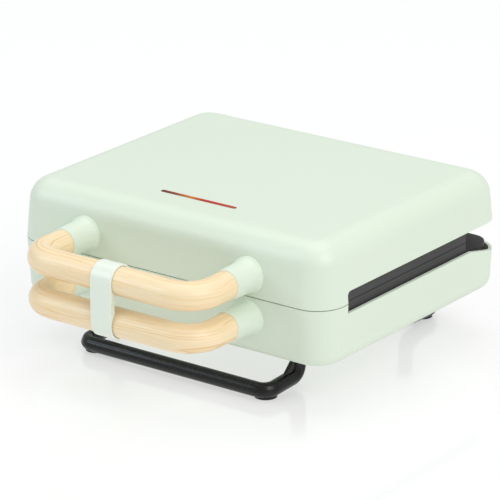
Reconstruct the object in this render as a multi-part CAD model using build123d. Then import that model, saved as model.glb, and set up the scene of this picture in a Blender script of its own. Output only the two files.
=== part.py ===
from build123d import *
import math
import os

# Donut maker: two plastic shells hinged at the back, each with a plate of ring moulds.
# Millimetres, +Z up, +X to the user's right, -Y towards the user (the handles).
# Shapes are drawn about the middle of the shells, with the foot pads a little below zero;
# place() moves them to the row's origin, which is the middle of the whole object's outline
# on the surface that it stands on.

# Shells
SHELL_WIDTH = 250.0
SHELL_DEPTH = 203.0
CORNER_R = 20.0
CORNER_R_TOP = 19.0
WALL = 2.4
BOTTOM_Z = 30.0
PARTING_Z = 69.2
TOP_Z = 110.0
PARTING_GAP = 0.5
UPPER_DRAFT = 4.2
LOWER_DRAFT = 2.6
TOP_EDGE_R = 16.5
BOTTOM_EDGE_R = 8.0
RIM_R = 0.4
SHELL_BACK = SHELL_DEPTH / 2
SHELL_FRONT = -SHELL_BACK

# Side and rear slot between the shells
SLOT_FRONT = -76.3
SLOT_LOW_Z = 63.0
SLOT_HIGH_Z = 77.2
SLOT_CORNER_R = 3.0
DIP_START = 62.0
DIP_END = 88.0
DIP_Z = 57.0

# Plate frames, one in each half, mirrored about the mating plane
MATE_Z = 69.2
MATE_GAP = 0.4
FRAME_HALF_W = 121.3
FRAME_FRONT = -97.0
FRAME_BACK = 60.6
FRAME_R = 15.0
FRAME_SCREW_INSET = 7.7
FRAME_H = 9.5
FRAME_TOP = MATE_Z - MATE_GAP / 2
FRAME_LOW = FRAME_TOP - FRAME_H
FRAME_DEPTH = FRAME_BACK - FRAME_FRONT
MID_Y = (FRAME_FRONT + FRAME_BACK) / 2
LEDGE_W = 3.0

# Ring mould plates
PLATE_W = 228.0
PLATE_D = 144.0
PLATE_R = 14.0
PLATE_T = 4.0
PLATE_GAP = 0.5
PLATE_TOP = FRAME_TOP - 0.4
PLATE_LOW = PLATE_TOP - PLATE_T
RING_PITCH_X = 73.0
RING_PITCH_Y = 69.0
RING_R = 20.5
GROOVE_R = 11.5
GROOVE_WALL = 2.5
RINGS = [(ix * RING_PITCH_X, MID_Y + iy * RING_PITCH_Y) for ix in (-1, 0, 1) for iy in (-0.5, 0.5)]
BOSS_SPOTS = [(sx * RING_PITCH_X / 2, MID_Y + sy * 64.0) for sx in (-1, 1) for sy in (-1, 1)]
PLATE_BOSS_R = 4.5

# Heating element and its tray
ELEMENT_R = 3.2
ELEMENT_Z = PLATE_TOP - GROOVE_R - GROOVE_WALL - 0.2 - ELEMENT_R
ELEMENT_HALF_W = 94.5
ELEMENT_PIN_X = 12.0
ELEMENT_BACK = 60.0
PIN_R = 1.5
TRAY_T = 0.8
TRAY_LOW = 46.2
TRAY_W = 218.0
TRAY_D = 140.0
TRAY_R = 18.0
TRAY_LIP = 6.0

# Hinge
HINGE_Y = 93.0
HINGE_Z = 67.0
HINGE_X = 72.0
KNUCKLE_R = 4.6
PIN_HINGE_R = 2.0
PIN_CLEARANCE = 0.05
ARM_W = 16.0
EAR_W = 5.0
EAR_GAP = 0.4
DECK_BACK = 97.5
DECK_HALF_W = 118.0
DECK_LOW = 58.0
DECK_TOP = 60.8
DECK_R = 14.0

# Handles
HANDLE_X = 65.4
HANDLE_Y = -155.2
HANDLE_R = 9.4
HANDLE_BEND = 18.0
HANDLE_OFFSET = 13.9
UPPER_HANDLE_Z = PARTING_Z + HANDLE_OFFSET
LOWER_HANDLE_Z = PARTING_Z - HANDLE_OFFSET
BOSS_TIP = -123.4
BOSS_ROOT = -98.6
BOSS_INNER = -96.8
BOSS_PAD_R = 4.1
BOSS_TIP_R = 10.2
BOSS_WAIST_R = 10.6
BOSS_ROOT_R = 12.2
BOSS_RIM = 0.5
FLARE_LENGTH = 5.5
SOCKET_DEPTH = 8.0
SOCKET_GAP = 0.05
HANDLE_SCREW_R = 2.0
HANDLE_SCREW_END = -134.0

# Locking clip on the upper handle
CLIP_W = 16.4
CLIP_OUT = 10.9
CLIP_PLATE_T = 4.2
CLIP_IN_UPPER = 9.6
CLIP_IN_LOWER = 9.7
CLIP_TAIL = -60.0
CLIP_END = 258.0
CLIP_EDGE_R = 0.5

# Feet
FOOT_R = 5.0
FOOT_X = 74.7
FOOT_Y = 93.8
FOOT_LEG_Y = 60.6
FOOT_Z = 4.6
FOOT_BEND = 7.5
PAD_LOW = -1.5
PAD_T = 1.0
PAD_X = 69.0
PAD_Y = 87.5
PAD_R = 7.3
PAD_BOSS_R = 7.5
WEB_T = 2.6
WEB_RISE = 19.4
WEB_RUN = 20.8

# Indicator light on the lid
LIGHT_LEN = 60.0
LIGHT_W = 3.0
LIGHT_Y = -65.5
LIGHT_CLEAR = 0.1
LIGHT_FLANGE = 1.5

# Cord gland in the back of the lower shell
GLAND_X = 0.0
GLAND_Z = 44.0
GLAND_BORE_R = 3.5
GLAND_NECK_R = 6.0
GLAND_FLANGE_R = 8.0
GLAND_SEAT = 99.6
GLAND_BACK = 102.6

SCREW_R = 1.5
SCREW_HEAD_R = 3.0
SCREW_HEAD_T = 2.0

Y_SHIFT = (CLIP_OUT - HANDLE_Y - GLAND_BACK) / 2


def block(x0, x1, y0, y1, z0, z1):
    middle = Pos((x0 + x1) / 2, (y0 + y1) / 2, (z0 + z1) / 2)
    return middle * Box(x1 - x0, y1 - y0, z1 - z0)


def rod_z(x, y, z0, z1, r):
    return Pos(x, y, (z0 + z1) / 2) * Cylinder(r, z1 - z0)


def rod_y(x, z, y0, y1, r):
    return Pos(x, (y0 + y1) / 2, z) * Rot(90, 0, 0) * Cylinder(r, y1 - y0)


def rod_x(y, z, x0, x1, r):
    return Pos((x0 + x1) / 2, y, z) * Rot(0, 90, 0) * Cylinder(r, x1 - x0)


def slab(width, depth, radius, z0, z1, middle_y=0.0):
    outline = Pos(0, middle_y, z0) * RectangleRounded(width, depth, radius)
    return extrude(outline, z1 - z0)


def side_profile(points, width, x=0.0):
    """A solid of the given width along X from a closed outline of (y, z) points."""
    face = make_face(Polyline([(x - width / 2, y, z) for y, z in points], close=True))
    return extrude(face, width, dir=(1, 0, 0))


def flip(shape):
    """The same piece in the other half, mirrored about the mating plane."""
    return mirror(shape, Plane((0, 0, MATE_Z)))


def screw_z(x, y, seat_z, length, up):
    """A pan head screw whose head stands on seat_z and whose shank points up or down."""
    way = 1 if up else -1
    head = rod_z(x, y, min(seat_z, seat_z - way * SCREW_HEAD_T), max(seat_z, seat_z - way * SCREW_HEAD_T),
                 SCREW_HEAD_R)
    shank = rod_z(x, y, min(seat_z, seat_z + way * length), max(seat_z, seat_z + way * length), SCREW_R)
    top = head.faces().sort_by(Axis.Z)[0 if up else -1]
    return fillet(top.edges(), 0.7) + shank


# ---- shells

def tapered(z_wide, z_narrow, draft, r_wide, r_narrow, inset):
    """A rounded block that narrows from z_wide to z_narrow, inset on every side."""
    shrink = 2 * abs(z_narrow - z_wide) * math.tan(math.radians(draft))
    wide = Pos(0, 0, z_wide) * RectangleRounded(
        SHELL_WIDTH - 2 * inset, SHELL_DEPTH - 2 * inset, r_wide - inset)
    narrow = Pos(0, 0, z_narrow) * RectangleRounded(
        SHELL_WIDTH - shrink - 2 * inset, SHELL_DEPTH - shrink - 2 * inset, r_narrow - inset)
    return Solid.make_loft([wide.wire(), narrow.wire()], True)


def upper_block(inset):
    body = tapered(PARTING_Z, TOP_Z - inset, UPPER_DRAFT, CORNER_R, CORNER_R_TOP, inset)
    return fillet(body.edges().group_by(Axis.Z)[-1], TOP_EDGE_R - inset)


def lower_block(inset):
    body = tapered(PARTING_Z, BOTTOM_Z + inset, LOWER_DRAFT, CORNER_R, CORNER_R_TOP, inset)
    return fillet(body.edges().group_by(Axis.Z)[0], BOTTOM_EDGE_R - inset)


def rim_edges(shell, outer, low, high):
    """The shell's edges between two heights that lie on the skin of its outer block."""
    skin = outer.shells()[0]
    found = ShapeList()
    for edge in shell.edges():
        spots = [edge @ share for share in (0.0, 0.5, 1.0)]
        if all(low < p.Z < high and skin.distance_to(Vertex(p.X, p.Y, p.Z)) < 0.01 for p in spots):
            found.append(edge)
    return found


def handle_boss(x, z):
    """A trumpet that flares into the front wall, with a socket for the handle's end."""
    flare_start = SHELL_FRONT - FLARE_LENGTH
    profile = Polyline((0, BOSS_TIP), (BOSS_TIP_R - 0.6, BOSS_TIP), (BOSS_TIP_R, BOSS_TIP + 0.6),
                       (BOSS_WAIST_R, flare_start))
    flare = ThreePointArc((BOSS_WAIST_R, flare_start), (BOSS_WAIST_R + 0.4, SHELL_FRONT - 2.4),
                          (BOSS_ROOT_R - BOSS_RIM, SHELL_FRONT - BOSS_RIM))
    rim = Line((BOSS_ROOT_R - BOSS_RIM, SHELL_FRONT - BOSS_RIM), (BOSS_ROOT_R, SHELL_FRONT))
    close = Polyline((BOSS_ROOT_R, SHELL_FRONT), (BOSS_ROOT_R, BOSS_ROOT), (0, BOSS_ROOT), (0, BOSS_TIP))
    trumpet = revolve(make_face([profile, flare, rim, close]), Axis.Y)
    return Pos(x, 0, z) * trumpet + rod_y(x, z, BOSS_ROOT - 1, BOSS_INNER, BOSS_PAD_R)


def handle_holes(x, z):
    """What is cut out of the boss: the handle's socket and the screw's hole."""
    socket = rod_y(x, z, BOSS_TIP - 1, BOSS_TIP + SOCKET_DEPTH, HANDLE_R + SOCKET_GAP)
    return socket + rod_y(x, z, BOSS_TIP, BOSS_INNER + 1, HANDLE_SCREW_R + 0.2)


def frame_screw_spots():
    side = FRAME_HALF_W - FRAME_SCREW_INSET
    reach = FRAME_DEPTH / 2 - FRAME_SCREW_INSET
    return [(sx * side, MID_Y + sy * reach) for sx in (-1, 1) for sy in (-1, 1)]


def shell_posts(z0, z1, hole_from, hole_to):
    """The posts that the plate frame is screwed to, and their blind holes."""
    posts = Part()
    holes = Part()
    for x, y in frame_screw_spots():
        posts += rod_z(x, y, z0, z1, 4.5)
        holes += rod_z(x, y, hole_from, hole_to, SCREW_R)
    return posts, holes


def make_upper_shell():
    outer = upper_block(0.0)
    shell = outer - upper_block(WALL)
    cut = block(-SHELL_WIDTH, SHELL_WIDTH, SLOT_FRONT, SHELL_DEPTH, PARTING_Z - 5, SLOT_HIGH_Z)
    corner = cut.edges().filter_by(Axis.X).sort_by(lambda e: e.center().Z - e.center().Y)[-1]
    posts, holes = shell_posts(2 * MATE_Z - FRAME_LOW, TOP_Z - WALL / 2, 2 * MATE_Z - FRAME_LOW - 1, 92.0)
    shell += posts & outer
    for side in (-1, 1):
        shell += handle_boss(side * HANDLE_X, UPPER_HANDLE_Z)
        shell -= handle_holes(side * HANDLE_X, UPPER_HANDLE_Z)
    shell -= holes
    shell -= fillet(corner, SLOT_CORNER_R)
    shell -= block(-SHELL_WIDTH, SHELL_WIDTH, -SHELL_DEPTH, SHELL_DEPTH, PARTING_Z - 5,
                   PARTING_Z + PARTING_GAP / 2)
    shell -= light_bar(LIGHT_CLEAR, TOP_Z - WALL - 1, TOP_Z + 1)
    return fillet(rim_edges(shell, outer, PARTING_Z, SLOT_HIGH_Z + 0.01), RIM_R)


def make_lower_shell():
    outer = lower_block(0.0)
    shell = outer - lower_block(WALL)
    cut = side_profile([(SLOT_FRONT, TOP_Z), (SLOT_FRONT, SLOT_LOW_Z), (DIP_START, SLOT_LOW_Z),
                        (DIP_END, DIP_Z), (SHELL_DEPTH, DIP_Z), (SHELL_DEPTH, TOP_Z)], 2 * SHELL_WIDTH)
    posts, holes = shell_posts(BOTTOM_Z + WALL / 2, FRAME_LOW, 46.0, FRAME_LOW + 1)
    shell += posts & outer
    for side in (-1, 1):
        shell += handle_boss(side * HANDLE_X, LOWER_HANDLE_Z)
        shell -= handle_holes(side * HANDLE_X, LOWER_HANDLE_Z)
        for end in (-1, 1):
            shell -= rod_z(side * FOOT_X, end * FOOT_LEG_Y, BOTTOM_Z - 1, BOTTOM_Z + WALL + 1, SCREW_R + 0.2)
    shell -= holes
    shell -= cut
    shell -= block(-SHELL_WIDTH, SHELL_WIDTH, -SHELL_DEPTH, SHELL_DEPTH, PARTING_Z - PARTING_GAP / 2,
                   PARTING_Z + 5)
    shell -= rod_y(GLAND_X, GLAND_Z, GLAND_SEAT - 10, SHELL_BACK + 1, GLAND_NECK_R)
    shell -= rod_y(GLAND_X, GLAND_Z, GLAND_SEAT, SHELL_BACK + 1, GLAND_FLANGE_R + 0.3)
    return fillet(rim_edges(shell, outer, DIP_Z - 0.01, PARTING_Z), RIM_R)


# ---- plate frames and hinge

def frame_ring():
    ring = slab(2 * FRAME_HALF_W, FRAME_DEPTH, FRAME_R, FRAME_LOW, FRAME_TOP, MID_Y)
    ring += block(-FRAME_HALF_W, FRAME_HALF_W, MID_Y, FRAME_BACK, FRAME_LOW, FRAME_TOP)
    seat = slab(PLATE_W + 2 * PLATE_GAP, PLATE_D + 2 * PLATE_GAP, PLATE_R + PLATE_GAP, PLATE_LOW,
                FRAME_TOP + 1, MID_Y)
    opening = slab(PLATE_W - 2 * LEDGE_W, PLATE_D - 2 * LEDGE_W, PLATE_R - LEDGE_W, FRAME_LOW - 1,
                   PLATE_LOW + 1, MID_Y)
    ring = ring - seat - opening
    for x, y in frame_screw_spots():
        ring -= rod_z(x, y, FRAME_LOW - 1, FRAME_TOP + 1, SCREW_R + 0.2)
        ring -= rod_z(x, y, FRAME_TOP - 3.0, FRAME_TOP + 1, SCREW_HEAD_R + 0.3)
    return ring


def hinge_ear(x):
    foot = block(x - EAR_W / 2, x + EAR_W / 2, HINGE_Y - KNUCKLE_R - 2, HINGE_Y + KNUCKLE_R - 0.1,
                 DECK_LOW, HINGE_Z)
    knuckle = rod_x(HINGE_Y, HINGE_Z, x - EAR_W / 2, x + EAR_W / 2, KNUCKLE_R)
    return foot + knuckle


def make_lower_frame():
    frame = frame_ring()
    reach = DECK_BACK - FRAME_BACK + 2 * DECK_R
    deck = slab(2 * DECK_HALF_W, reach, DECK_R, DECK_LOW, DECK_TOP, DECK_BACK - reach / 2)
    frame += deck - block(-SHELL_WIDTH, SHELL_WIDTH, 0, FRAME_BACK - 2, 0, TOP_Z)
    for x in ear_spots():
        frame += hinge_ear(x)
    for side in (-1, 1):
        frame -= rod_x(HINGE_Y, HINGE_Z, side * HINGE_X - 20, side * HINGE_X + 20, PIN_HINGE_R)
    return frame


def ear_spots():
    reach = ARM_W / 2 + EAR_GAP + EAR_W / 2
    return [side * HINGE_X + way * reach for side in (-1, 1) for way in (-1, 1)]


def hinge_arm(x):
    """An arm from the upper frame back and down to the hinge pin."""
    cover_top = 2 * MATE_Z - FRAME_LOW
    web = side_profile([(FRAME_BACK - 2, 2 * MATE_Z - FRAME_TOP + 0.2), (HINGE_Y, HINGE_Z - KNUCKLE_R),
                        (HINGE_Y + KNUCKLE_R, HINGE_Z), (HINGE_Y + KNUCKLE_R, cover_top),
                        (FRAME_BACK - 2, cover_top)], ARM_W, x)
    knuckle = rod_x(HINGE_Y, HINGE_Z, x - ARM_W / 2, x + ARM_W / 2, KNUCKLE_R)
    return web + knuckle


def make_upper_frame():
    frame = flip(frame_ring())
    reach = DECK_BACK - FRAME_BACK + 2 * DECK_R
    cover = slab(2 * DECK_HALF_W, reach, DECK_R, SLOT_HIGH_Z + 0.3, 2 * MATE_Z - FRAME_LOW,
                 DECK_BACK - reach / 2)
    frame += cover - block(-SHELL_WIDTH, SHELL_WIDTH, 0, FRAME_BACK - 2, 0, TOP_Z)
    for side in (-1, 1):
        frame += hinge_arm(side * HINGE_X)
        frame -= rod_x(HINGE_Y, HINGE_Z, side * HINGE_X - 20, side * HINGE_X + 20,
                       PIN_HINGE_R + PIN_CLEARANCE)
    return frame


def make_hinge_pins():
    reach = ARM_W / 2 + EAR_GAP + EAR_W
    return [rod_x(HINGE_Y, HINGE_Z, side * HINGE_X - reach, side * HINGE_X + reach, PIN_HINGE_R)
            for side in (-1, 1)]


def frame_screws():
    return [screw_z(x, y, FRAME_TOP - 3.0, 16.0, False) for x, y in frame_screw_spots()]


# ---- hot pack: mould plate, element and tray, drawn for the lower half

def mould_plate():
    plate = slab(PLATE_W, PLATE_D, PLATE_R, PLATE_LOW, PLATE_TOP, MID_Y)
    above = block(-60, 60, -60, 60, PLATE_TOP, PLATE_TOP + 40)
    for x, y in RINGS:
        plate += Pos(x, y, PLATE_TOP) * Torus(RING_R, GROOVE_R + GROOVE_WALL) - Pos(x, y, 0) * above
    for x, y in BOSS_SPOTS:
        plate += rod_z(x, y, TRAY_LOW + TRAY_T, PLATE_LOW + 1, PLATE_BOSS_R)
        plate -= rod_z(x, y, TRAY_LOW, TRAY_LOW + 12, SCREW_R)
    for x, y in RINGS:
        plate -= Pos(x, y, PLATE_TOP) * Torus(RING_R, GROOVE_R)
    return plate


def heating_element():
    run = RING_PITCH_Y / 2
    corners = [(-ELEMENT_PIN_X, ELEMENT_BACK), (-ELEMENT_PIN_X, MID_Y + run),
               (-ELEMENT_HALF_W, MID_Y + run), (-ELEMENT_HALF_W, MID_Y - run),
               (ELEMENT_HALF_W, MID_Y - run), (ELEMENT_HALF_W, MID_Y + run),
               (ELEMENT_PIN_X, MID_Y + run), (ELEMENT_PIN_X, ELEMENT_BACK)]
    path = FilletPolyline([(x, y, ELEMENT_Z) for x, y in corners], radius=[9, 30, 30, 30, 30, 9])
    section = Plane(origin=path @ 0, z_dir=path % 0) * Circle(ELEMENT_R)
    tube = sweep(section, path)
    for side in (-1, 1):
        tube += rod_y(side * ELEMENT_PIN_X, ELEMENT_Z, ELEMENT_BACK, ELEMENT_BACK + 8, PIN_R)
    return tube


def heat_tray():
    """A sheet metal pan under the element; its lip bears on the frame."""
    tray = slab(TRAY_W + 2 * TRAY_T, TRAY_D + 2 * TRAY_T, TRAY_R + TRAY_T, TRAY_LOW, FRAME_LOW, MID_Y)
    tray += slab(TRAY_W + 2 * TRAY_LIP, TRAY_D + 2 * TRAY_LIP, TRAY_R + TRAY_LIP, FRAME_LOW - TRAY_T,
                 FRAME_LOW, MID_Y)
    tray -= slab(TRAY_W, TRAY_D, TRAY_R, TRAY_LOW + TRAY_T, FRAME_LOW + 1, MID_Y)
    for x, y in BOSS_SPOTS:
        tray -= rod_z(x, y, TRAY_LOW - 1, TRAY_LOW + 5, SCREW_R + 0.2)
    for side in (-1, 1):
        tray -= rod_y(side * ELEMENT_PIN_X, ELEMENT_Z, MID_Y + 60, MID_Y + 80, ELEMENT_R + 0.3)
    return tray


def tray_screws():
    return [screw_z(x, y, TRAY_LOW, 10.0, True) for x, y in BOSS_SPOTS]


# ---- electrical pieces

def make_thermostat():
    """A disc thermostat on the tray, with two blade terminals."""
    case = rod_z(0, MID_Y, TRAY_LOW - 7, TRAY_LOW, 8.5)
    ears = block(-17, 17, MID_Y - 4, MID_Y + 4, TRAY_LOW - 0.8, TRAY_LOW)
    blades = Part()
    for side in (-1, 1):
        blades += block(side * 4 - 2.4, side * 4 + 2.4, MID_Y - 0.4, MID_Y + 0.4, TRAY_LOW - 13, TRAY_LOW - 7)
    return case + ears + blades


def make_thermal_fuse():
    """A one-shot fuse in a sleeve, lying against the tray."""
    body = rod_x(MID_Y + 30, TRAY_LOW - 2.2, -8, 8, 2.2)
    leads = rod_x(MID_Y + 30, TRAY_LOW - 2.2, -22, 22, 0.6)
    return body + leads


def make_terminal_block():
    base = block(-18, 18, 70, 84, BOTTOM_Z + WALL, BOTTOM_Z + WALL + 12)
    for x in (-12, 0, 12):
        base -= rod_y(x, BOTTOM_Z + WALL + 5, 69, 85, 2.2)
        base -= rod_z(x, 77, BOTTOM_Z + WALL + 5, BOTTOM_Z + WALL + 13, 2.4)
    return base


def make_cord_gland():
    """A rubber bush for the mains cord, clipped in the back wall."""
    gland = rod_y(GLAND_X, GLAND_Z, GLAND_SEAT, GLAND_BACK, GLAND_FLANGE_R)
    gland = fillet(gland.faces().sort_by(Axis.Y)[-1].edges(), 1.2)
    gland += rod_y(GLAND_X, GLAND_Z, 92.0, GLAND_SEAT, GLAND_NECK_R)
    gland += rod_y(GLAND_X, GLAND_Z, 93.0, 96.8, GLAND_FLANGE_R)
    return gland - rod_y(GLAND_X, GLAND_Z, 90.0, GLAND_BACK + 1, GLAND_BORE_R)


# ---- indicator light

def light_bar(clear, z0, z1):
    outline = Pos(0, LIGHT_Y, z0) * SlotOverall(LIGHT_LEN + 2 * clear, LIGHT_W + 2 * clear)
    return extrude(outline, z1 - z0)


def make_indicator_lens():
    lens = light_bar(0.0, TOP_Z - WALL, TOP_Z + 0.3)
    return lens + light_bar(LIGHT_FLANGE, TOP_Z - WALL - 1.5, TOP_Z - WALL)


def make_indicator_board():
    """A narrow circuit board with its lamps, on two clips under the lid's top."""
    top = TOP_Z - WALL - 6.0
    board = block(-36, 36, LIGHT_Y - 6, LIGHT_Y + 6, top - 1.6, top)
    for x in (-20, 0, 20):
        board += block(x - 2.5, x + 2.5, LIGHT_Y - 1.4, LIGHT_Y + 1.4, top, top + 2.0)
    for side in (-1, 1):
        board += block(side * 34 - 1.5, side * 34 + 1.5, LIGHT_Y - 3, LIGHT_Y + 3, top, TOP_Z - WALL)
    return board


# ---- handles, their screws and the clip

def make_handle(z):
    start = BOSS_TIP + SOCKET_DEPTH
    path = FilletPolyline((HANDLE_X, start, z), (HANDLE_X, HANDLE_Y, z), (-HANDLE_X, HANDLE_Y, z),
                          (-HANDLE_X, start, z), radius=HANDLE_BEND)
    section = Plane(origin=path @ 0, z_dir=path % 0) * Circle(HANDLE_R)
    bar = sweep(section, path)
    for side in (-1, 1):
        bar -= rod_y(side * HANDLE_X, z, HANDLE_SCREW_END, start + 1, HANDLE_SCREW_R)
    return bar


def handle_screws(z):
    screws = []
    for side in (-1, 1):
        head = rod_y(side * HANDLE_X, z, BOSS_INNER, BOSS_INNER + 2.6, 4.0)
        head = fillet(head.faces().sort_by(Axis.Y)[-1].edges(), 0.8)
        screws.append(head + rod_y(side * HANDLE_X, z, HANDLE_SCREW_END, BOSS_INNER, HANDLE_SCREW_R))
    return screws


def arc_band(middle_z, r_in, r_out, angle_from, angle_to):
    """Part of a ring round a handle bar; 0 degrees points to the back, 90 up."""
    def at(radius, angle):
        turn = math.radians(angle)
        return (0, HANDLE_Y + radius * math.cos(turn), middle_z + radius * math.sin(turn))
    half = (angle_from + angle_to) / 2
    outer = ThreePointArc(at(r_out, angle_from), at(r_out, half), at(r_out, angle_to))
    inner = ThreePointArc(at(r_in, angle_to), at(r_in, half), at(r_in, angle_from))
    ends = [Line(at(r_out, angle_to), at(r_in, angle_to)), Line(at(r_in, angle_from), at(r_out, angle_from))]
    face = make_face([outer, ends[0], inner, ends[1]])
    return Pos(-CLIP_W / 2, 0, 0) * extrude(face, CLIP_W, dir=(1, 0, 0))


def make_clip():
    """A C-shaped clip that turns on the upper bar and hooks under the lower one."""
    clip = arc_band(UPPER_HANDLE_Z, CLIP_IN_UPPER, CLIP_OUT, CLIP_TAIL, 180.0)
    clip += arc_band(LOWER_HANDLE_Z, CLIP_IN_LOWER, CLIP_OUT, 180.0, CLIP_END)
    plate = block(-CLIP_W / 2, CLIP_W / 2, HANDLE_Y - CLIP_OUT, HANDLE_Y - CLIP_OUT + CLIP_PLATE_T,
                  LOWER_HANDLE_Z, UPPER_HANDLE_Z)
    plate -= rod_x(HANDLE_Y, UPPER_HANDLE_Z, -CLIP_W, CLIP_W, CLIP_IN_UPPER)
    plate -= rod_x(HANDLE_Y, LOWER_HANDLE_Z, -CLIP_W, CLIP_W, CLIP_IN_LOWER)
    clip += plate
    sides = clip.faces().sort_by(Axis.X)
    return fillet(sides[0].edges() + sides[-1].edges(), CLIP_EDGE_R)


# ---- feet

def make_foot(end):
    """A moulded U bar; end is -1 at the front and 1 at the back."""
    path = FilletPolyline((FOOT_X, end * FOOT_LEG_Y, BOTTOM_Z), (FOOT_X, end * FOOT_LEG_Y, FOOT_Z + 1.5),
                          (FOOT_X, end * FOOT_Y, FOOT_Z), (-FOOT_X, end * FOOT_Y, FOOT_Z),
                          (-FOOT_X, end * FOOT_LEG_Y, FOOT_Z + 1.5), (-FOOT_X, end * FOOT_LEG_Y, BOTTOM_Z),
                          radius=FOOT_BEND)
    section = Plane(origin=path @ 0, z_dir=path % 0) * Circle(FOOT_R)
    foot = sweep(section, path)
    for side in (-1, 1):
        foot += rod_z(side * PAD_X, end * PAD_Y, PAD_LOW + PAD_T, PAD_LOW + PAD_T + 2.4, PAD_BOSS_R)
        foot += side_profile([(end * FOOT_LEG_Y, FOOT_Z + WEB_RISE), (end * FOOT_LEG_Y, FOOT_Z),
                              (end * (FOOT_LEG_Y + WEB_RUN), FOOT_Z)], WEB_T, side * FOOT_X)
        foot -= rod_z(side * FOOT_X, end * FOOT_LEG_Y, BOTTOM_Z - 10, BOTTOM_Z + 1, SCREW_R)
    return foot


def foot_pad(side, end):
    return rod_z(side * PAD_X, end * PAD_Y, PAD_LOW, PAD_LOW + PAD_T, PAD_R)


def foot_screws():
    return [screw_z(side * FOOT_X, end * FOOT_LEG_Y, BOTTOM_Z + WALL, WALL + 10.0, False)
            for side in (-1, 1) for end in (-1, 1)]


# ---- writing

def place(shape):
    return Pos(0, Y_SHIFT, -PAD_LOW) * shape


def save(name, shapes):
    solids = []
    for shape in shapes:
        solids += place(shape).solids()
    if len(solids) == 1:
        export_step(solids[0], f"parts/{name}.step")
    else:
        export_step(Compound(solids), f"parts/{name}.step")


os.makedirs("parts", exist_ok=True)

save("lower_shell", [make_lower_shell()])
save("upper_shell", [make_upper_shell()])
save("lower_plate_frame", [make_lower_frame()])
save("upper_plate_frame", [make_upper_frame()])
save("hinge_pins", make_hinge_pins())
save("lower_frame_screws", frame_screws())
save("upper_frame_screws", [flip(s) for s in frame_screws()])
save("lower_donut_plate", [mould_plate()])
save("upper_donut_plate", [flip(mould_plate())])
save("lower_heating_element", [heating_element()])
save("upper_heating_element", [flip(heating_element())])
save("lower_heat_tray", [heat_tray()])
save("upper_heat_tray", [flip(heat_tray())])
save("lower_tray_screws", tray_screws())
save("upper_tray_screws", [flip(s) for s in tray_screws()])
save("thermostat", [make_thermostat()])
save("thermal_fuse", [make_thermal_fuse()])
save("terminal_block", [make_terminal_block()])
save("cord_gland", [make_cord_gland()])
save("indicator_lens", [make_indicator_lens()])
save("indicator_board", [make_indicator_board()])
save("lower_handle", [make_handle(LOWER_HANDLE_Z)])
save("upper_handle", [make_handle(UPPER_HANDLE_Z)])
save("lower_handle_screws", handle_screws(LOWER_HANDLE_Z))
save("upper_handle_screws", handle_screws(UPPER_HANDLE_Z))
save("locking_clip", [make_clip()])
for end, end_name in ((-1, "front"), (1, "rear")):
    save(f"{end_name}_foot", [make_foot(end)])
    for side, side_name in ((-1, "left"), (1, "right")):
        save(f"foot_pad_{end_name}_{side_name}", [foot_pad(side, end)])
save("foot_screws", foot_screws())
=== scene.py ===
import bpy
import math
from mathutils import Matrix, Vector


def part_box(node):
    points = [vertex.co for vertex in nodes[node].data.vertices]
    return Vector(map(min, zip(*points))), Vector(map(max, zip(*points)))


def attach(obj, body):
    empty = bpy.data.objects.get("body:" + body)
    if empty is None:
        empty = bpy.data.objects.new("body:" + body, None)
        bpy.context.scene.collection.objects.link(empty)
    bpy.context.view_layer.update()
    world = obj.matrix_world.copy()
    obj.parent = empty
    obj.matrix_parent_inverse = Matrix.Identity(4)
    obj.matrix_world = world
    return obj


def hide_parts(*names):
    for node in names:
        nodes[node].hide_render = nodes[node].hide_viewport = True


# Donut maker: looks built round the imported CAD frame. Metres, +Z up, -Y towards the user.

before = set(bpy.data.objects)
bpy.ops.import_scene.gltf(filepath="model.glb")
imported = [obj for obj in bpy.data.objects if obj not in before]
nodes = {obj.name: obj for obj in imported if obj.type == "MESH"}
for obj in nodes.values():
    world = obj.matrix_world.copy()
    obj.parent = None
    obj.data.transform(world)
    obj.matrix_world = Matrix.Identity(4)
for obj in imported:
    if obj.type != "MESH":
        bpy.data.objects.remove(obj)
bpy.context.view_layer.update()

MM = 0.001

# Camera, at the height and side from which the maker is shown; angles in degrees, lens in mm
CAM_AZIMUTH = 37.04
CAM_ELEVATION = 19.83
CAM_ROLL = -0.46
CAM_DISTANCE = 2.228
CAM_LENS = 242.3
CAM_AIM = Vector((-0.0139, 0.03865, 0.0530))
CAM_CLIP = (0.1, 50.0)

# Colours, as linear red, green and blue
PINE_PALE = (0.92, 0.75, 0.49)
PINE_MID = (0.88, 0.66, 0.37)
PINE_LINE = (0.70, 0.43, 0.21)
MINT = (0.69, 0.778, 0.655)
MINT_DARK = (0.68, 0.77, 0.645)
CLIP_MINT = (0.78, 0.84, 0.74)
CLIP_DARK = (0.77, 0.832, 0.73)
PHENOLIC = (0.05, 0.035, 0.028)
PHENOLIC_DARK = (0.03, 0.02, 0.018)
BOARD_GREEN = (0.02, 0.16, 0.07)
BOARD_DARK = (0.015, 0.12, 0.05)
PLATED_STEEL = (0.62, 0.62, 0.62)
OXIDISED_STEEL = (0.22, 0.20, 0.19)
ALUMINISED = (0.72, 0.72, 0.73)


# ---------------------------------------------------------------- materials

def new_material(name):
    """A material with its node tree and its main shader."""
    material = bpy.data.materials.new(name)
    material.use_nodes = True
    tree = material.node_tree
    shader = tree.nodes["Principled BSDF"]
    return material, tree, shader


def node(tree, kind, **values):
    """A node of that kind, with values for its sockets or its settings."""
    made = tree.nodes.new(kind)
    for key, value in values.items():
        if key in made.inputs.keys():
            made.inputs[key].default_value = value
        else:
            setattr(made, key, value)
    return made


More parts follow.
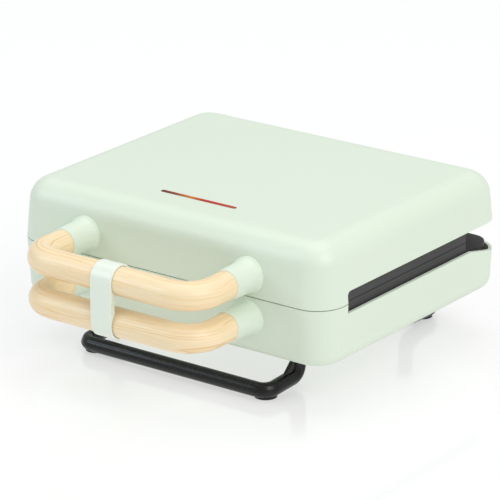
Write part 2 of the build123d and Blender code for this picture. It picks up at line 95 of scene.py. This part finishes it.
def coords(tree, scale=(1, 1, 1), attribute=None):
    """The object's own metres, or a named vector stored on the mesh, scaled."""
    mapping = node(tree, "ShaderNodeMapping", Scale=scale)
    if attribute:
        source = node(tree, "ShaderNodeAttribute", attribute_name=attribute)
        tree.links.new(source.outputs["Vector"], mapping.inputs["Vector"])
    else:
        source = node(tree, "ShaderNodeTexCoord")
        tree.links.new(source.outputs["Object"], mapping.inputs["Vector"])
    return mapping.outputs["Vector"]


def noise(tree, vector, scale, detail, roughness=0.55):
    """Cloudy variation from 0 to 1."""
    made = node(tree, "ShaderNodeTexNoise", Scale=scale, Detail=detail, Roughness=roughness)
    tree.links.new(vector, made.inputs["Vector"])
    return made.outputs["Fac"]


def ramp(tree, factor, stops):
    """Colours looked up by a factor; stops are (place, colour) pairs."""
    made = node(tree, "ShaderNodeValToRGB")
    elements = made.color_ramp.elements
    while len(elements) < len(stops):
        elements.new(0.5)
    for element, (place, colour) in zip(elements, stops):
        element.position = place
        element.color = (*colour, 1.0)
    tree.links.new(factor, made.inputs["Fac"])
    return made.outputs["Color"]


def grey(value):
    """A colour with no tint."""
    return (value, value, value)


def bump(tree, shader, height, distance, strength):
    """Fine relief on a shader; distance is its depth in metres."""
    made = node(tree, "ShaderNodeBump", Strength=strength, Distance=distance)
    tree.links.new(height, made.inputs["Height"])
    tree.links.new(made.outputs["Normal"], shader.inputs["Normal"])


def moulded_plastic(name, colour, dark, rough, grain=900.0, depth=0.03 * MM, specular=0.5):
    """Plastic with a fine spark-eroded texture and a faint flow variation.

    rough is the least and most roughness, and grain is in cycles a metre.
    """
    material, tree, shader = new_material(name)
    at = coords(tree)
    flow = noise(tree, at, 9.0, 2.0)
    tree.links.new(ramp(tree, flow, [(0.35, dark), (0.65, colour)]), shader.inputs["Base Color"])
    fine = noise(tree, at, grain, 3.0, 0.6)
    shine = ramp(tree, fine, [(0.3, grey(rough[0])), (0.7, grey(rough[1]))])
    tree.links.new(shine, shader.inputs["Roughness"])
    shader.inputs["Specular IOR Level"].default_value = specular
    bump(tree, shader, fine, depth, 0.6)
    return material


RING_SLOPE = 0.7
RINGS_PER_METRE = 300.0
RING_WANDER = 0.020
RING_SHADES = [(0.0, grey(1.0)), (0.45, grey(0.93)), (0.80, grey(0.45)), (0.90, grey(0.0)), (1.0, grey(1.0))]


def pine(name, shift):
    """Pale lacquered softwood; growth lines and fibres follow the bar through its bends."""
    material, tree, shader = new_material(name)
    moved = node(tree, "ShaderNodeVectorMath", operation="ADD")
    moved.inputs[1].default_value = shift
    tree.links.new(coords(tree, attribute="bar"), moved.inputs[0])
    along = moved.outputs[0]

    def stretched(lengthwise, across, detail):
        """Noise with so many cycles a metre along the bar and across it."""
        mapping = node(tree, "ShaderNodeMapping", Scale=(lengthwise, across, across))
        tree.links.new(along, mapping.inputs["Vector"])
        return noise(tree, mapping.outputs["Vector"], 1.0, detail)

    def maths(operation, first, second):
        """One sum; each term is a number or a socket."""
        made = node(tree, "ShaderNodeMath", operation=operation)
        for socket, value in zip(made.inputs, (first, second)):
            if isinstance(value, (int, float)):
                socket.default_value = value
            else:
                tree.links.new(value, socket)
        return made.outputs[0]

    split = node(tree, "ShaderNodeSeparateXYZ")
    tree.links.new(along, split.inputs[0])
    depth = maths("ADD", maths("MULTIPLY", split.outputs["Y"], RING_SLOPE), split.outputs["Z"])
    warped = maths("ADD", depth, maths("MULTIPLY", stretched(11.0, 70.0, 2.0), RING_WANDER))
    year = maths("FRACT", maths("MULTIPLY", warped, RINGS_PER_METRE), 0.0)
    line = ramp(tree, year, RING_SHADES)
    fade = ramp(tree, stretched(14.0, 160.0, 1.0), [(0.38, grey(1.0)), (0.66, grey(0.0))])
    faded = node(tree, "ShaderNodeMix", data_type="RGBA", blend_type="SCREEN", Factor=1.0)
    tree.links.new(line, faded.inputs["A"])
    tree.links.new(fade, faded.inputs["B"])
    growth = ramp(tree, faded.outputs["Result"], [(0.0, PINE_LINE), (0.6, PINE_MID), (1.0, PINE_PALE)])
    cloud = ramp(tree, stretched(9.0, 45.0, 2.0), [(0.3, (1.0, 0.95, 0.86)), (0.7, (1.0, 1.0, 1.0))])
    fibre = stretched(60.0, 2600.0, 3.0)
    grain = ramp(tree, fibre, [(0.3, grey(0.86)), (0.62, grey(1.0))])
    colour = growth
    for layer in (cloud, grain):
        blend = node(tree, "ShaderNodeMix", data_type="RGBA", blend_type="MULTIPLY", Factor=0.7)
        tree.links.new(colour, blend.inputs["A"])
        tree.links.new(layer, blend.inputs["B"])
        colour = blend.outputs["Result"]
    tree.links.new(colour, shader.inputs["Base Color"])
    tree.links.new(ramp(tree, fibre, [(0.3, grey(0.48)), (0.7, grey(0.34))]), shader.inputs["Roughness"])
    shader.inputs["Coat Weight"].default_value = 0.3
    shader.inputs["Coat Roughness"].default_value = 0.25
    bump(tree, shader, fibre, 0.03 * MM, 0.5)
    return material


def coated_metal(name):
    """Non-stick coating: near black, with fine pale specks."""
    material, tree, shader = new_material(name)
    at = coords(tree)
    cells = node(tree, "ShaderNodeTexVoronoi", Scale=900.0, feature="F1")
    tree.links.new(at, cells.inputs["Vector"])
    speck = ramp(tree, cells.outputs["Distance"], [(0.10, grey(0.16)), (0.17, grey(0.022))])
    tree.links.new(speck, shader.inputs["Base Color"])
    fine = noise(tree, at, 1500.0, 3.0)
    tree.links.new(ramp(tree, fine, [(0.3, grey(0.32)), (0.7, grey(0.46))]), shader.inputs["Roughness"])
    shader.inputs["Specular IOR Level"].default_value = 0.6
    bump(tree, shader, fine, 0.03 * MM, 0.6)
    return material


def sheet_metal(name, colour, rough, stretch=(1, 1, 40)):
    """Bare or plated metal with the fine lines of its rolling or turning."""
    material, tree, shader = new_material(name)
    at = coords(tree, stretch)
    lines = noise(tree, at, 120.0, 4.0)
    darker = tuple(c * 0.8 for c in colour)
    tree.links.new(ramp(tree, lines, [(0.3, darker), (0.7, colour)]), shader.inputs["Base Color"])
    tree.links.new(ramp(tree, lines, [(0.3, grey(rough)), (0.7, grey(rough + 0.15))]),
                   shader.inputs["Roughness"])
    shader.inputs["Metallic"].default_value = 1.0
    bump(tree, shader, lines, 0.02 * MM, 0.4)
    return material


def dress(name, material):
    """Gives every slot of a CAD node one material."""
    mesh = nodes[name].data
    if not mesh.materials:
        mesh.materials.append(material)
    for index in range(len(mesh.materials)):
        mesh.materials[index] = material


mint = moulded_plastic("mint_plastic", MINT, MINT_DARK, (0.34, 0.44), depth=0.02 * MM)
clip_mint = moulded_plastic("clip_plastic", CLIP_MINT, CLIP_DARK, (0.26, 0.32), depth=0.008 * MM)
black_frame = moulded_plastic("black_frame", grey(0.040), grey(0.032), (0.5, 0.64), grain=1400.0,
                              depth=0.04 * MM)
black_foot = moulded_plastic("black_foot", grey(0.006), grey(0.004), (0.22, 0.32), grain=1100.0,
                             depth=0.02 * MM, specular=0.36)
rubber = moulded_plastic("black_rubber", grey(0.022), grey(0.018), (0.7, 0.85), grain=1500.0,
                         depth=0.04 * MM, specular=0.3)
white_plastic = moulded_plastic("white_plastic", grey(0.72), grey(0.66), (0.4, 0.5))
brown_plastic = moulded_plastic("phenolic", PHENOLIC, PHENOLIC_DARK, (0.4, 0.55))
green_board = moulded_plastic("solder_mask", BOARD_GREEN, BOARD_DARK, (0.25, 0.35))
coating = coated_metal("nonstick_coating")
steel = sheet_metal("plated_steel", PLATED_STEEL, 0.25)
sheath = sheet_metal("element_sheath", OXIDISED_STEEL, 0.45)
tray = sheet_metal("aluminised_sheet", ALUMINISED, 0.3, (1, 40, 1))
wood_upper = pine("pine_upper", (0.31, 0.017, 0.043))
wood_lower = pine("pine_lower", (1.73, 0.052, 0.011))

# The handles and feet have pieces of their own further down, and the lens its own material
FINISHES = {
    "upper_shell": mint, "lower_shell": mint, "locking_clip": clip_mint,
    "upper_plate_frame": black_frame, "lower_plate_frame": black_frame,
    "upper_donut_plate": coating, "lower_donut_plate": coating,
    "upper_heating_element": sheath, "lower_heating_element": sheath,
    "upper_heat_tray": tray, "lower_heat_tray": tray,
    "hinge_pins": steel, "cord_gland": rubber, "thermostat": brown_plastic,
    "thermal_fuse": white_plastic, "terminal_block": white_plastic,
    "indicator_board": green_board,
}
for node_name in nodes:
    if node_name.endswith("screws"):
        dress(node_name, steel)
    elif node_name.startswith("foot_pad"):
        dress(node_name, rubber)
    elif node_name in FINISHES:
        dress(node_name, FINISHES[node_name])


# ---------------------------------------------------------------- mesh helpers

def add_mesh(name, points, faces, material, smooth=True):
    """An object made of those points and faces."""
    mesh = bpy.data.meshes.new(name)
    mesh.from_pydata(points, [], faces)
    mesh.update()
    made = bpy.data.objects.new(name, mesh)
    bpy.context.scene.collection.objects.link(made)
    mesh.materials.append(material)
    if smooth:
        mesh.polygons.foreach_set("use_smooth", [True] * len(mesh.polygons))
    return made


def bent_path(corners, radius, steps, spacing):
    """Points along straight runs joined by arcs, and the length along the path at each."""
    points = [Vector(corners[0])]
    for before, corner, after in zip(corners, corners[1:], corners[2:]):
        before, corner, after = Vector(before), Vector(corner), Vector(after)
        to_before = (before - corner).normalized()
        to_after = (after - corner).normalized()
        half = to_before.angle(to_after) / 2
        middle = corner + (to_before + to_after).normalized() * (radius / math.sin(half))
        start = corner + to_before * (radius / math.tan(half)) - middle
        end = corner + to_after * (radius / math.tan(half)) - middle
        turn = start.angle(end)
        for step in range(steps + 1):
            share = step / steps
            spoke = (start * math.sin((1 - share) * turn) + end * math.sin(share * turn)) / math.sin(turn)
            points.append(middle + spoke)
    points.append(Vector(corners[-1]))
    filled = [points[0]]
    for here, there in zip(points, points[1:]):
        pieces = max(1, round((there - here).length / spacing))
        filled += [here.lerp(there, k / pieces) for k in range(1, pieces + 1)]
    lengths = [0.0]
    for here, there in zip(filled, filled[1:]):
        lengths.append(lengths[-1] + (there - here).length)
    return filled, lengths


def stitched(rows, across):
    """Faces that join closed rows of points into a tube, with its two end caps."""
    faces = []
    for row in range(rows - 1):
        for step in range(across):
            here = row * across + step
            beside = row * across + (step + 1) % across
            faces.append((here, beside, beside + across, here + across))
    faces.append(tuple(range(across))[::-1])
    faces.append(tuple(range((rows - 1) * across, rows * across)))
    return faces


def swept_bar(path, lengths, radius_at, side, across):
    """A bar along a path: its points, its faces and each point's straightened-out place.

    The section is radius_at(angle), measured from side, a direction across the path's start.
    """
    points, straight = [], []
    for index, middle in enumerate(path):
        ahead = (path[min(index + 1, len(path) - 1)] - path[max(index - 1, 0)]).normalized()
        side = (side - ahead * side.dot(ahead)).normalized()
        rise = side.cross(ahead)
        for step in range(across):
            angle = 2 * math.pi * step / across
            radius = radius_at(angle)
            points.append(middle + (side * math.cos(angle) + rise * math.sin(angle)) * radius)
            straight.append((lengths[index], radius * math.cos(angle), radius * math.sin(angle)))
    return points, stitched(len(path), across), straight


def turned_disc(centre, outline, across):
    """A closed turned piece about a vertical line; outline is (radius, height) from the bottom up."""
    points = []
    for radius, height in outline:
        for step in range(across):
            angle = 2 * math.pi * step / across
            points.append(centre + Vector((radius * math.cos(angle), radius * math.sin(angle), height)))
    return points, stitched(len(outline), across)


def softened_plate(corners, across, thickness, bevel):
    """A flat plate of that outline, thick along the direction across, with its edges taken off."""
    middle = sum(corners, Vector()) / len(corners)
    drawn_in = [corner + (middle - corner).normalized() * bevel * 2 for corner in corners]
    half = across * (thickness / 2)
    rings = [(drawn_in, -half), (corners, -half + across * bevel), (corners, half - across * bevel),
             (drawn_in, half)]
    points = [corner + shift for ring, shift in rings for corner in ring]
    return points, stitched(len(rings), len(corners))


def joined(parts):
    """Several closed pieces as the points and faces of one mesh."""
    points, faces = [], []
    for part_points, part_faces in parts:
        faces += [tuple(index + len(points) for index in face) for face in part_faces]
        points += part_points
    return points, faces


# ---------------------------------------------------------------- wooden handles

HANDLE_BEND = 0.018
HANDLE_ARC_STEPS = 20
HANDLE_SIDES = 64
BAR_SPACING = 0.003


def make_handle(node_name, piece_name, body, material):
    """A turned wooden U bar, with the straightened-out bar stored on it for its grain."""
    low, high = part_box(node_name)
    radius = (high.z - low.z) / 2
    height = (high.z + low.z) / 2
    side = high.x - radius
    front = low.y + radius
    corners = [(side, high.y, height), (side, front, height), (-side, front, height),
               (-side, high.y, height)]
    path, lengths = bent_path(corners, HANDLE_BEND, HANDLE_ARC_STEPS, BAR_SPACING)
    points, faces, straight = swept_bar(path, lengths, lambda angle: radius, Vector((-1, 0, 0)), HANDLE_SIDES)
    made = add_mesh(piece_name, points, faces, material)
    kept = made.data.attributes.new("bar", "FLOAT_VECTOR", "POINT")
    kept.data.foreach_set("vector", [value for point in straight for value in point])
    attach(made, body)
    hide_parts(node_name)


make_handle("upper_handle", "upper_wood_bar", "lid", wood_upper)
make_handle("lower_handle", "lower_wood_bar", "base", wood_lower)


# ---------------------------------------------------------------- feet

# The channel's tilt and half width are angles round the bar, in radians
FOOT_R = 0.0050
FOOT_BEND = 0.0075
FOOT_RISE = 0.0015
SEAT_R = 0.0075
SEAT_INSET = 0.0057
WEB_T = 0.0026
WEB_RISE = 0.0194
WEB_RUN = 0.0208
CHANNEL_DEPTH = 0.0003
CHANNEL_TILT = 0.42
CHANNEL_HALF = 0.34
FOOT_ARC_STEPS = 12
FOOT_SIDES = 96
FOOT_LIFT = 0.1 * MM
WEB_BEVEL = 0.3 * MM
SEAT_SIDES = 40
SEAT_BACK = 0.6 * MM
SEAT_OUTLINE = [(SEAT_R - 0.3 * MM, 0), (SEAT_R, 0.3 * MM), (SEAT_R, 1.8 * MM), (SEAT_R - 0.6 * MM, 2.4 * MM)]


def make_foot(node_name, piece_name, end):
    """The moulded U bar, channelled along its outer side, with its webs and pad seats."""
    low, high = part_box(node_name)
    side = high.x - FOOT_R
    front, leg = (low.y + FOOT_R, high.y - FOOT_R) if end < 0 else (high.y - FOOT_R, low.y + FOOT_R)
    height = low.z + FOOT_R + FOOT_LIFT
    corners = [(side, leg, high.z), (side, leg, height + FOOT_RISE), (side, front, height),
               (-side, front, height), (-side, leg, height + FOOT_RISE), (-side, leg, high.z)]
    path, lengths = bent_path(corners, FOOT_BEND, FOOT_ARC_STEPS, BAR_SPACING)

    def section(angle):
        """The bar's radius, drawn in at the channel."""
        turned = math.remainder(angle - end * CHANNEL_TILT, 2 * math.pi)
        return FOOT_R - CHANNEL_DEPTH / (1 + (turned / CHANNEL_HALF) ** 8)

    parts = [swept_bar(path, lengths, section, Vector((1, 0, 0)), FOOT_SIDES)[:2]]
    for way in (-1, 1):
        web = [Vector((way * side, leg, height + WEB_RISE)), Vector((way * side, leg, height)),
               Vector((way * side, leg + end * WEB_RUN, height))]
        parts.append(softened_plate(web, Vector((1, 0, 0)), WEB_T, WEB_BEVEL))
        seat = Vector((way * (side - SEAT_INSET), front - end * (SEAT_INSET + SEAT_BACK), low.z))
        parts.append(turned_disc(seat, SEAT_OUTLINE, SEAT_SIDES))
    points, faces = joined(parts)
    made = add_mesh(piece_name, points, faces, black_foot)
    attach(made, "base")
    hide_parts(node_name)


make_foot("front_foot", "front_foot_bar", -1)
make_foot("rear_foot", "rear_foot_bar", 1)


# ---------------------------------------------------------------- indicator lamp

LAMP_TINTS = [(0.0, (0.09, 0.006, 0.008)), (0.20, (0.20, 0.030, 0.010)), (0.40, (0.52, 0.15, 0.015)),
              (0.55, (0.38, 0.016, 0.006)), (0.75, (0.40, 0.026, 0.010)), (1.0, (0.34, 0.070, 0.045))]
LAMP_GLOW = 0.2
LAMP_SPECULAR = 0.08


def lamp_material():
    """Dark red lens with a dull amber stretch where a lamp lies close behind it."""
    material, tree, shader = new_material("lamp_lens")
    source = node(tree, "ShaderNodeTexCoord")
    split = node(tree, "ShaderNodeSeparateXYZ")
    tree.links.new(source.outputs["Object"], split.inputs[0])
    low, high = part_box("indicator_lens")
    share = node(tree, "ShaderNodeMapRange")
    tree.links.new(split.outputs["X"], share.inputs["Value"])
    share.inputs["From Min"].default_value = low.x
    share.inputs["From Max"].default_value = high.x
    tint = ramp(tree, share.outputs["Result"], LAMP_TINTS)
    tree.links.new(tint, shader.inputs["Base Color"])
    tree.links.new(tint, shader.inputs["Emission Color"])
    shader.inputs["Emission Strength"].default_value = LAMP_GLOW
    fine = noise(tree, coords(tree), 1800.0, 2.0)
    tree.links.new(ramp(tree, fine, [(0.3, grey(0.12)), (0.7, grey(0.2))]), shader.inputs["Roughness"])
    shader.inputs["Specular IOR Level"].default_value = LAMP_SPECULAR
    return material


dress("indicator_lens", lamp_material())


# ---------------------------------------------------------------- floor, light, camera

FLOOR_GREY = (0.42, 0.42, 0.42, 1)
FLOOR_GLOW = 0.52
FLOOR_ROUGHNESS = 0.12
FLOOR_SPECULAR = 0.6
FLOOR_HALF = 6.0
FLOOR_Z = -0.2 * MM
WORLD_STRENGTH = 0.54
LIGHT_AIM = (0, 0, 0.05)
COOL_WHITE = (0.72, 0.88, 1.0)


def make_floor():
    """A pale glossy floor, clear when it is looked at from below."""
    material, tree, shader = new_material("studio_floor")
    shader.inputs["Base Color"].default_value = FLOOR_GREY
    shader.inputs["Emission Color"].default_value = (1, 1, 1, 1)
    shader.inputs["Emission Strength"].default_value = FLOOR_GLOW
    shader.inputs["Roughness"].default_value = FLOOR_ROUGHNESS
    shader.inputs["Specular IOR Level"].default_value = FLOOR_SPECULAR
    facing = node(tree, "ShaderNodeNewGeometry")
    clear = node(tree, "ShaderNodeBsdfTransparent")
    one_sided = node(tree, "ShaderNodeMixShader")
    tree.links.new(facing.outputs["Backfacing"], one_sided.inputs[0])
    tree.links.new(shader.outputs[0], one_sided.inputs[1])
    tree.links.new(clear.outputs[0], one_sided.inputs[2])
    tree.links.new(one_sided.outputs[0], tree.nodes["Material Output"].inputs["Surface"])
    corners = [(-1, -1), (1, -1), (1, 1), (-1, 1)]
    points = [(x * FLOOR_HALF, y * FLOOR_HALF, FLOOR_Z) for x, y in corners]
    add_mesh("studio_floor", points, [(0, 1, 2, 3)], material, False)


def area_light(name, place, aim, size, power, colour=(1, 1, 1)):
    """A soft square lamp at a place, turned towards its aim."""
    data = bpy.data.lights.new(name, "AREA")
    data.shape = "RECTANGLE"
    data.size = size
    data.size_y = size
    data.energy = power
    data.color = colour
    made = bpy.data.objects.new(name, data)
    bpy.context.scene.collection.objects.link(made)
    made.location = place
    made.rotation_euler = (Vector(aim) - Vector(place)).to_track_quat("-Z", "Y").to_euler()


def make_world():
    """Even white light from all round."""
    world = bpy.data.worlds.new("studio")
    world.use_nodes = True
    background = world.node_tree.nodes["Background"]
    background.inputs["Color"].default_value = (1, 1, 1, 1)
    background.inputs["Strength"].default_value = WORLD_STRENGTH
    bpy.context.scene.world = world


def make_camera():
    """The camera that sees the maker as it is shown."""
    azimuth, elevation = math.radians(CAM_AZIMUTH), math.radians(CAM_ELEVATION)
    back = Vector((math.sin(azimuth) * math.cos(elevation), -math.cos(azimuth) * math.cos(elevation),
                   math.sin(elevation)))
    data = bpy.data.cameras.new("camera")
    data.lens = CAM_LENS
    camera = bpy.data.objects.new("camera", data)
    bpy.context.scene.collection.objects.link(camera)
    turn = (-back).to_track_quat("-Z", "Y").to_matrix() @ Matrix.Rotation(math.radians(CAM_ROLL), 3, "Z")
    camera.matrix_world = Matrix.Translation(CAM_AIM + back * CAM_DISTANCE) @ turn.to_4x4()
    data.clip_start, data.clip_end = CAM_CLIP
    bpy.context.scene.camera = camera


make_floor()
make_world()
area_light("key_right", (2.2, -0.6, 1.8), LIGHT_AIM, 1.8, 35)
area_light("top_soft", (-0.3, 0.4, 2.6), (0, 0, 0), 2.6, 29)
area_light("front_fill", (-1.9, -1.8, 1.5), LIGHT_AIM, 1.2, 17, COOL_WHITE)
make_camera()
bpy.context.scene.view_settings.view_transform = "Standard"
